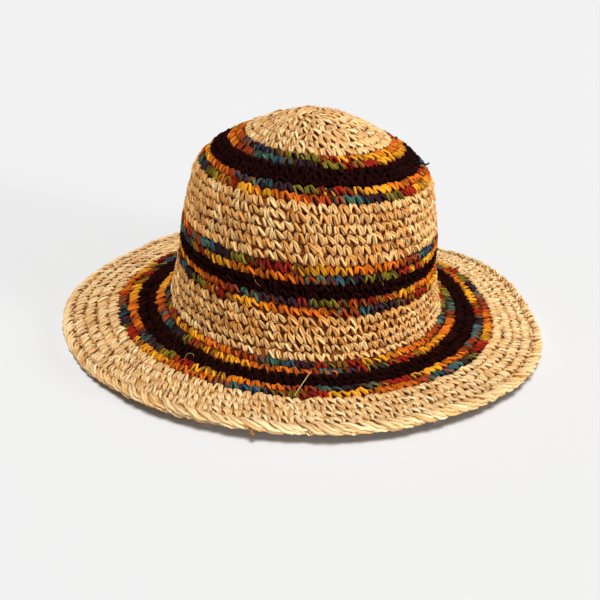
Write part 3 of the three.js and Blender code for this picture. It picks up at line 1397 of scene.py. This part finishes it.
@dataclass
class CrochetBand:
    """The crochet of one band: a ribbon of cloth for each round, with the stitches on both its faces.

    How strong the finish's painted shade is in the recesses is a table of turns from the tip and strengths.
    """

    band: Band
    first_turn: int
    form: HatForm
    spiral: Spiral
    colours: YarnColours
    unit_size: float = 6.2 * MM
    least_width: float = 4.5 * MM
    outer_depth: float = 2 * MM
    inner_cover: float = 1.1 * MM
    half_ribbon: float = 0.51
    ribbon_painted_light: float = 0.25
    chain_depth: float = 2.1 * MM
    chain_thick: float = 0.7 * MM
    chain_across: float = 0.54
    chain_half: float = 0.11
    chain_painted_light: float = 0.15
    cloth_map: float = 60
    presses: tuple[Press, ...] = (Press(0.5 * MM, 8), Press(1.4 * MM, 3.5))
    tip_rounds: float = 8
    tip_turn: float = 0.25
    tip_flatness: float = 0.35
    sunk: float = 0.15 * MM
    jitter_sunk: float = 0.2 * MM
    jitter_up: float = 0.055
    jitter_along: float = 0.11
    jitter_turn: float = 0.12
    jitter_size: float = 0.09
    painted_shade_strengths: tuple[tuple[float, float], ...] = ((0, 0.6), (9, 1), (38, 1), (39, 0.35))
    innermost: float = 0.2
    cuts_in_stitch: int = 2
    turn_end: float = 0.999
    stitch_seed: int = 100
    cloth_seed: int = 500

    def pressed(self, turns: np.ndarray) -> np.ndarray:
        """How far the cloth is pressed in at the very tip, in metres."""
        return sum(press.depth * np.clip(1 - turns / press.rounds, 0, 1) for press in self.presses)

    def long_edges(self) -> tuple[tuple[LongEdge, ...], tuple[LongEdge, ...]]:
        """The sections of the cloth's ribbon and of the strand along the foot of a round.

        Returns:
            Four edges for each.
        """
        half, outer, inner = self.half_ribbon, self.outer_depth, self.form.wall - self.inner_cover
        # painted shade: the ribbon's outer edges and the foot strand's sides lie in full painted shade, the
        # inner edges and the strand's top in less
        ribbon = (
            LongEdge(-half, outer, 0),
            LongEdge(half, outer, 0),
            LongEdge(half, inner, self.ribbon_painted_light),
            LongEdge(-half, inner, self.ribbon_painted_light),
        )
        chain = (
            LongEdge(self.chain_across - self.chain_half, self.chain_depth, 0),
            LongEdge(self.chain_across, self.chain_depth - self.chain_thick, self.chain_painted_light),
            LongEdge(self.chain_across + self.chain_half, self.chain_depth, 0),
            LongEdge(self.chain_across, self.chain_depth + self.chain_thick, 0),
        )
        return ribbon, chain

    def cloth(self) -> bpy.types.Object:
        """The band's ribbons and foot strands as a helper object.

        Returns:
            The object, linked to the scene.
        """
        points, faces, maps, dyes, opened = [], [], [], [], []
        start = 0
        for turn in range(self.first_turn, self.first_turn + self.band.rounds):
            cuts = int(self.spiral.count(turn + 0.5) * self.cuts_in_stitch) + 2
            turns = np.linspace(turn, turn + 1, cuts)
            inside = np.minimum(turns, turn + self.turn_end)
            middle = self.spiral.rounds_at(inside)
            azimuth = self.spiral.azimuth_at(turns)
            rng = np.random.default_rng(self.cloth_seed + turn)
            first, second = self.colours.of(self.band.yarn, inside, rng)
            count = len(turns)
            for section in self.long_edges():
                for k, edge in enumerate(section):
                    place = np.maximum(middle + edge.across, 0)
                    points.append(self.form.cloth(place, azimuth, self.pressed(turns) + edge.depth))
                    dyes.append((first + second) / 2)
                    # the edge's painted light, which darkens the cloth behind the stitches with painted shade
                    opened.append(np.full(count, edge.light))
                    a, b = start + k * count, start + (k + 1) % 4 * count
                    for i in range(count - 1):
                        faces.append((a + i, b + i, b + i + 1, a + i + 1))
                        low, high = turns[i : i + 2] * self.cloth_map
                        maps += [(low, 0), (low, 0.5), (high, 0.5), (high, 0)]
                faces.append(tuple(start + k * count for k in reversed(range(4))))
                faces.append(tuple(start + k * count + count - 1 for k in range(4)))
                maps += [(0, 0)] * 8
                start += 4 * count
        name = self.band.node + "_cloth"
        mesh = bpy.data.meshes.new(name)
        mesh.from_pydata(np.concatenate(points).tolist(), [], faces, shade_flat=True)
        mesh.uv_layers.new(name="UVMap").uv.foreach_set("vector", np.array(maps, np.float32).ravel())
        for key in ("first", "second"):
            write_layer(mesh, key, np.concatenate(dyes))
        write_layer(mesh, "open", np.concatenate(opened), "FLOAT")
        return add_object(name, mesh)

    def places(self) -> Places:
        """Where the band's stitches go.

        Returns:
            A place for each stitch, and then one for each pair of inner strands.
        """
        rng = np.random.default_rng(self.stitch_seed + self.first_turn)
        turns = self.spiral.stitch_turns(self.first_turn, self.band.rounds)
        count = len(turns)
        middle = self.spiral.rounds_at(turns) + rng.normal(0, self.jitter_up, count)
        middle = np.maximum(middle, self.innermost)
        in_round = np.interp(turns, self.spiral.turns, self.spiral.counts)
        shifted = rng.normal(0, self.jitter_along, count) * FULL_TURN / in_round
        azimuth = self.spiral.azimuth_at(turns) + shifted
        around, tipward, out = self.form.axes(middle, azimuth)
        near_tip = np.clip(1 - turns / self.tip_rounds, 0, 1)
        angle = rng.normal(0, 1, count) * (self.jitter_turn + self.tip_turn * near_tip)
        across, upward = turned(around, tipward, angle)
        above = self.form.skin(np.maximum(middle - 0.5, 0), azimuth)
        below = self.form.skin(middle + 0.5, azimuth)
        height = np.linalg.norm(above - below, axis=1)
        rounds = self.spiral.turns
        length = np.interp(turns, rounds, [self.form.length_of(turn) for turn in rounds])
        width = np.maximum(length / in_round, self.least_width)
        thick = self.unit_size * (1 - self.tip_flatness * near_tip)
        size = np.stack([width, height, thick], -1)
        size *= rng.normal(1, self.jitter_size, (count, 3))
        first, second = self.colours.of(self.band.yarn, turns, rng)
        sunk = rng.normal(self.sunk, self.jitter_sunk, count) + self.pressed(turns)
        stitches = Places(
            at=self.form.skin(middle, azimuth) - out * sunk[:, None],
            axes=np.stack([across, upward, out], 1),
            size=size,
            shape=rng.integers(0, len(STITCH_SHAPES), count),
            first=first,
            second=second,
        )
        bars = replace(
            stitches,
            at=self.form.skin(middle, azimuth) - out * self.pressed(turns)[:, None],
            size=size * (1, 1, 0) + (0, 0, self.unit_size),
            shape=np.full(count, len(STITCH_SHAPES)),
        )
        return Places.joined([stitches, bars])

    def build(self, laying: Laying, finish: YarnFinish) -> bpy.types.Object:
        """Works the band.

        Args:
            laying: the geometry nodes that lay the stitches.
            finish: the yarn's finish.

        Returns:
            The finished piece, which replaces its solid.
        """
        # the strength of the painted shade in this band
        depth = float(np.interp(self.first_turn, *zip(*self.painted_shade_strengths)))
        piece = laying.lay(self.band.node + "_crochet", self.places(), self.cloth(), finish, depth)
        return dress(piece, self.band.yarn, self.band.node)


@dataclass
class RimCord:
    """The corded rim: overlapping strands that wind round the edge of the brim."""

    form: HatForm
    colours: YarnColours
    pitch: float = 8.6 * MM
    shapes: int = 8
    jitter_along: float = 0.06
    jitter_turn: float = 0.07
    jitter_size: float = 0.07
    core_width: float = 0.62
    core_height: float = 0.5
    core_painted_light: float = 0.4
    shape_seed: int = 40
    place_seed: int = 77
    core_steps: int = 160
    core_sides: int = 8
    # the strength of the painted shade on the rim
    depth: float = 0.3

    @property
    def middle(self) -> float:
        """The middle of the cord, in rounds from the tip."""
        return self.form.all_rounds - self.form.rim_rounds / 2

    def shape_objects(self) -> list[bpy.types.Object]:
        """The strand's variants as helper objects.

        Returns:
            One object for each variant, linked to the scene.
        """
        round_width = self.form.brim_width / self.form.brim_rounds
        half_width = self.form.rim_rounds * round_width / 2
        half_height = self.form.rim_thickness / 2
        made = []
        for i in range(self.shapes):
            shape = RimShape(half_width, half_height, self.pitch, self.shape_seed + i)
            made.append(shape.to_object(f"rim_strand_{i}"))
        return made

    def places(self) -> Places:
        """Where the strands go.

        Returns:
            A place for each.
        """
        rng = np.random.default_rng(self.place_seed)
        count = int(round(self.form.length_of(self.middle) / self.pitch))
        share = (np.arange(count) + 0.5 + rng.normal(0, self.jitter_along, count)) / count
        azimuth = FULL_TURN * share
        rounds = np.full(count, self.middle)
        around, inward, out = self.form.axes(rounds, azimuth)
        around, inward = turned(around, inward, rng.normal(0, self.jitter_turn, count))
        depth = np.full(count, self.form.rim_thickness / 2 - self.form.rim_stand)
        first, second = self.colours.natural(self.form.rim_start + share, rng)
        return Places(
            at=self.form.cloth(rounds, azimuth, depth),
            axes=np.stack([around, inward, out], 1),
            size=rng.normal(1, self.jitter_size, (count, 3)),
            shape=rng.integers(0, self.shapes, count),
            first=first,
            second=second,
        )

    def core(self) -> bpy.types.Object:
        """The hidden middle of the cord as a helper object.

        Returns:
            The object, linked to the scene.
        """
        steps, sides = self.core_steps, self.core_sides
        azimuth = np.repeat(np.arange(steps) * FULL_TURN / steps, sides)
        turn = np.tile(np.arange(sides) * FULL_TURN / sides, steps)
        rounds = self.middle + self.core_width * self.form.rim_rounds / 2 * np.cos(turn)
        half = self.form.rim_thickness / 2
        depth = half - self.form.rim_stand - self.core_height * half * np.sin(turn)
        points = self.form.cloth(rounds, azimuth, depth)
        mesh = bpy.data.meshes.new("rim_core")
        mesh.from_pydata(points.tolist(), [], tube_faces(0, steps, sides, closed=True), shade_flat=False)
        mesh.uv_layers.new(name="UVMap")
        for key in ("first", "second"):
            write_layer(mesh, key, np.tile(CORE_STRAW, (len(points), 1)))
        # painted shade over the whole hidden core
        write_layer(mesh, "open", np.full(len(points), self.core_painted_light), "FLOAT")
        return add_object("rim_core", mesh)

    def build(self, finish: YarnFinish) -> bpy.types.Object:
        """Works the rim.

        Args:
            finish: the natural yarn's finish.

        Returns:
            The finished piece, which replaces its solid.
        """
        laying = Laying(self.shape_objects())
        piece = laying.lay("rim_cord_crochet", self.places(), self.core(), finish, self.depth)
        laying.discard()
        return dress(piece, Yarn.NATURAL, "rim_cord")


@dataclass
class StrayFibres:
    """The fine fibres that stand off the yarn."""

    form: HatForm
    colours: YarnColours
    natural: int = 360
    black: int = 90
    top_margin: float = 0.3
    foot_margin: float = 0.1
    sizes: tuple[float, float] = (0.6, 1.25)
    seed: int = 900

    def places(self, yarn: Yarn, count: int, seed: int) -> Places:
        """Where the fibres of a yarn stand.

        Args:
            yarn: the yarn that they come out of.
            count: how many there are.
            seed: fixes where they are.

        Returns:
            A place for each fibre.
        """
        rng = np.random.default_rng(seed)
        spans = []
        turn = 0
        for band in CROWN_BANDS + BRIM_BANDS:
            if band.yarn is yarn:
                spans.append((turn, turn + band.rounds))
            turn += band.rounds
        weights = np.array([self.form.length_of((a + b) / 2) * (b - a) for a, b in spans])
        chosen = rng.choice(len(spans), count, p=weights / weights.sum())
        low, high = np.array(spans, float)[chosen].T
        rounds = rng.uniform(low + self.top_margin, high - self.foot_margin)
        azimuth = rng.uniform(0, FULL_TURN, count)
        around, tipward, out = self.form.axes(rounds, azimuth)
        along, across = turned(around, tipward, rng.uniform(0, FULL_TURN, count))
        size = np.repeat(rng.uniform(*self.sizes, (count, 1)), 3, axis=1)
        first, second = self.colours.of(yarn, rounds, rng)
        return Places(
            at=self.form.skin(rounds, azimuth),
            axes=np.stack([along, across, out], 1),
            size=size,
            shape=rng.integers(0, len(FIBRE_SHAPES), count),
            first=first,
            second=second,
        )

    def build(self, finishes: dict[Yarn, YarnFinish]) -> list[bpy.types.Object]:
        """Sets the fibres.

        Args:
            finishes: each yarn's finish.

        Returns:
            A piece for the natural fibres and one for the black.
        """
        laying = Laying([shape.to_object(f"fibre_{i}") for i, shape in enumerate(FIBRE_SHAPES)])
        pieces = []
        for yarn, count, name in ((Yarn.NATURAL, self.natural, "natural"), (Yarn.BLACK, self.black, "black")):
            places = self.places(yarn, count, self.seed + count)
            pieces.append(dress(laying.lay(name + "_stray_fibres", places, None, finishes[yarn]), yarn))
        laying.discard()
        return pieces


@dataclass(frozen=True)
class LooseEnd:
    """A loose bit of yarn: its points, as rounds from the tip, degrees and millimetres off the surface."""

    yarn: Yarn
    points: tuple[tuple[float, float, float], ...]
    radius: float
    colour: np.ndarray


STRAY_END = LooseEnd(
    Yarn.NATURAL,
    ((34.2, 273, 0.4), (35.6, 271.6, 1.5), (37.2, 270, 1.6), (38.9, 268.4, 0.8)),
    0.24 * MM,
    linear(226, 190, 128),
)
HAIRS = (
    LooseEnd(
        Yarn.NATURAL,
        ((22.9, 249.8, -0.3), (23.6, 250.6, 0.7), (24.3, 251.6, 0.9), (24.9, 253.6, 0.4)),
        0.16 * MM,
        linear(176, 134, 84),
    ),
    LooseEnd(
        Yarn.NATURAL,
        ((23.5, 298, -0.3), (24.3, 298.8, 0.6), (25, 299.6, 0.3)),
        0.15 * MM,
        linear(170, 130, 84),
    ),
    LooseEnd(
        Yarn.NATURAL,
        ((36.9, 234.8, -0.3), (36.1, 234.2, 1.2), (35.9, 236, 1.4), (36.3, 237, 0.2)),
        0.15 * MM,
        linear(190, 160, 104),
    ),
)
KNOT_UNDER_RIM = LooseEnd(
    Yarn.NATURAL,
    ((44, 261.0, -1.6), (44.4, 261.2, -2.8), (44.5, 261.5, -3.9), (44.4, 261.8, -4.6)),
    1.2 * MM,
    linear(150, 104, 62),
)
BLACK_TAIL = (
    LooseEnd(
        Yarn.BLACK,
        ((12.6, 338, -0.6), (12.9, 342, 1.6), (13.5, 345, 2.6), (14.2, 347, 4.4), (14.3, 348.7, 6)),
        0.7 * MM,
        LOOSE_BLACK,
    ),
    LooseEnd(
        Yarn.BLACK,
        ((12.2, 339, -0.4), (12.4, 343, 1.8), (12.9, 346, 2.2), (13.5, 347, 1.4)),
        0.6 * MM,
        LOOSE_BLACK,
    ),
)
LOOSE_ENDS = (STRAY_END, *HAIRS, KNOT_UNDER_RIM, *BLACK_TAIL)


@dataclass
class LooseEnds:
    """The few loose bits of yarn that the photo shows."""

    form: HatForm
    samples: int = 12
    sides: int = 6
    taper: float = 0.35

    def strand(self, end: LooseEnd) -> np.ndarray:
        """The line of a loose end.

        Args:
            end: the loose end.

        Returns:
            The points of its middle line, in metres.
        """
        rows = np.array(end.points)
        line = SmoothCurve(np.linspace(0, 1, len(rows)), rows)(np.linspace(0, 1, self.samples))
        return self.form.cloth(line[:, 0], np.radians(line[:, 1]), -line[:, 2] * MM)

    def build(self, finishes: dict[Yarn, YarnFinish]) -> list[bpy.types.Object]:
        """Lays the loose ends.

        Args:
            finishes: each yarn's finish.

        Returns:
            A piece for the natural ends and one for the black.
        """
        pieces = []
        for yarn, name in ((Yarn.NATURAL, "natural_loose_ends"), (Yarn.BLACK, "black_loose_end")):
            strands, dyes = StrandMesh(), []
            for end in LOOSE_ENDS:
                if end.yarn is yarn:
                    thickness = 1 - self.taper * np.linspace(-1, 1, self.samples) ** 2
                    strands.add(self.strand(end), end.radius * thickness, self.sides, 0, 1)
                    dyes.append(np.tile(end.colour, (self.samples * self.sides, 1)))
            mesh = strands.to_mesh(name)
            write_layer(mesh, "dye_and_painted_shade", np.concatenate(dyes))
            mesh.materials.append(finishes[yarn].material)
            pieces.append(dress(add_object(name, mesh), yarn))
        return pieces


def dress(piece: bpy.types.Object, yarn: Yarn, node: str | None = None) -> bpy.types.Object:
    """Gives a piece its body, and hides the solid that it stands for.

    Args:
        piece: the finished piece.
        yarn: the yarn that it is made of; not used.
        node: the solid that it replaces, if there is one.

    Returns:
        The piece.
    """
    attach(piece, "root")
    if node:
        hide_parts(node)
    log.info("%s: %d points, %d faces", piece.name, len(piece.data.vertices), len(piece.data.polygons))
    return piece


@dataclass(frozen=True)
class Lamp:
    """A soft lamp far away: the direction that its light comes from, its strength and its width."""

    name: str
    towards: tuple[float, float, float]
    strength: float
    width: float


@dataclass
class Studio:
    """The pale floor, the soft lights and the camera.

    The surround looks as bright as the paper, but lights the hat only by the fill.
    """

    floor_half: float = 14.0
    floor_tone: float = 0.612
    paper: float = 0.885
    fill: float = 0.23
    lamps: tuple[Lamp, ...] = (
        Lamp("key", (0.03, -0.36, 0.93), 3.8, 22.0),
        Lamp("side", (0.88, -0.46, 0.08), 3.4, 22.0),
    )
    aim: tuple[float, float, float] = (-0.0030, -0.0042, 0.0103)
    distance: float = 0.6
    elevation: float = 25.0
    roll: float = 3.16
    lens: float = 47.8
    sensor: float = 36.0
    nearest: float = 0.01
    farthest: float = 60.0

    def floor(self) -> None:
        """Makes the plain floor."""
        half = self.floor_half
        mesh = bpy.data.meshes.new("floor")
        corners = [(-half, -half, 0), (half, -half, 0), (half, half, 0), (-half, half, 0)]
        mesh.from_pydata(corners, [], [(0, 1, 2, 3)])
        made = bpy.data.materials.new("pale_floor")
        made.use_nodes = True
        shader = made.node_tree.nodes["Principled BSDF"]
        shader.inputs["Base Color"].default_value = (*[self.floor_tone] * 3, 1)
        shader.inputs["Roughness"].default_value = 1.0
        shader.inputs["Specular IOR Level"].default_value = 0.0
        mesh.materials.append(made)
        add_object("floor", mesh)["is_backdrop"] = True

    def light(self, lamp: Lamp) -> None:
        """Adds a lamp.

        Args:
            lamp: its direction, strength and width.
        """
        data = bpy.data.lights.new(lamp.name, "SUN")
        data.energy = lamp.strength
        data.angle = math.radians(lamp.width)
        made = add_object(lamp.name, data)
        made.location = Vector(lamp.towards) * 2
        made.rotation_mode = "QUATERNION"
        made.rotation_quaternion = Vector(lamp.towards).to_track_quat("Z", "Y")

    def world(self) -> None:
        """Makes the pale surround, which fills in the shadows."""
        world = bpy.data.worlds.new("surround")
        world.use_nodes = True
        nodes, link = world.node_tree.nodes, world.node_tree.links.new
        fill = nodes["Background"]
        seen = nodes.new("ShaderNodeBackground")
        ray = nodes.new("ShaderNodeLightPath")
        mix = nodes.new("ShaderNodeMixShader")
        for shade, strength in ((fill, self.fill), (seen, self.paper)):
            shade.inputs["Color"].default_value = (1, 1, 1, 1)
            shade.inputs["Strength"].default_value = strength
        link(ray.outputs["Is Camera Ray"], mix.inputs["Fac"])
        link(fill.outputs["Background"], mix.inputs[1])
        link(seen.outputs["Background"], mix.inputs[2])
        link(mix.outputs["Shader"], nodes["World Output"].inputs["Surface"])
        bpy.context.scene.world = world

    def camera(self) -> None:
        """Makes the camera at the photo's angle."""
        data = bpy.data.cameras.new("camera")
        data.lens = self.lens
        data.sensor_width = self.sensor
        data.clip_start = self.nearest
        data.clip_end = self.farthest
        made = add_object("camera", data)
        rise = math.radians(self.elevation)
        back = Vector((0, -math.cos(rise), math.sin(rise)))
        right = Vector((1, 0, 0))
        up = back.cross(right)
        tilt = math.radians(self.roll)
        turned_right = right * math.cos(tilt) + up * math.sin(tilt)
        turned_up = up * math.cos(tilt) - right * math.sin(tilt)
        place = Vector(self.aim) + back * self.distance
        facing = Matrix((turned_right, turned_up, back)).transposed().to_4x4()
        made.matrix_world = Matrix.Translation(place) @ facing
        bpy.context.scene.camera = made

    def build(self) -> None:
        """Sets the studio up."""
        self.floor()
        self.world()
        for lamp in self.lamps:
            self.light(lamp)
        self.camera()
        bpy.context.scene.view_settings.view_transform = "Standard"
        log.info("studio: floor, %d lamps and camera", len(self.lamps))


def write_sizes() -> None:
    """Works out the box of the solids and the box of the finished hat."""
    boxes = {"cad": cad_bounds, "visual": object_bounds()}
    plain = {key: [[float(v) for v in corner] for corner in box] for key, box in boxes.items()}


def main() -> None:
    """Works the whole hat and sets up the studio."""
    logging.basicConfig(level=logging.INFO, format="%(name)s: %(message)s")
    studio = Studio()
    studio.build()
    form = HatForm()
    spiral = Spiral(form)
    colours = YarnColours(spiral)
    log.info("dyes: %s", ", ".join(run.name for run in DYE_REPEAT))
    fibres = FibreGroup()
    finishes = {finish.yarn: finish.build(fibres) for finish in FINISHES}
    shapes = [*STITCH_SHAPES, InnerBar(form.wall)]
    laying = Laying([shape.to_object(f"stitch_{i}", CrochetBand.unit_size) for i, shape in enumerate(shapes)])
    turn = 0
    for band in CROWN_BANDS + BRIM_BANDS:
        CrochetBand(band, turn, form, spiral, colours).build(laying, finishes[band.yarn])
        turn += band.rounds
    laying.discard()
    RimCord(form, colours).build(finishes[Yarn.NATURAL])
    StrayFibres(form, colours).build(finishes)
    LooseEnds(form).build(finishes)
    write_sizes()


if __name__ == "__main__":
    main()
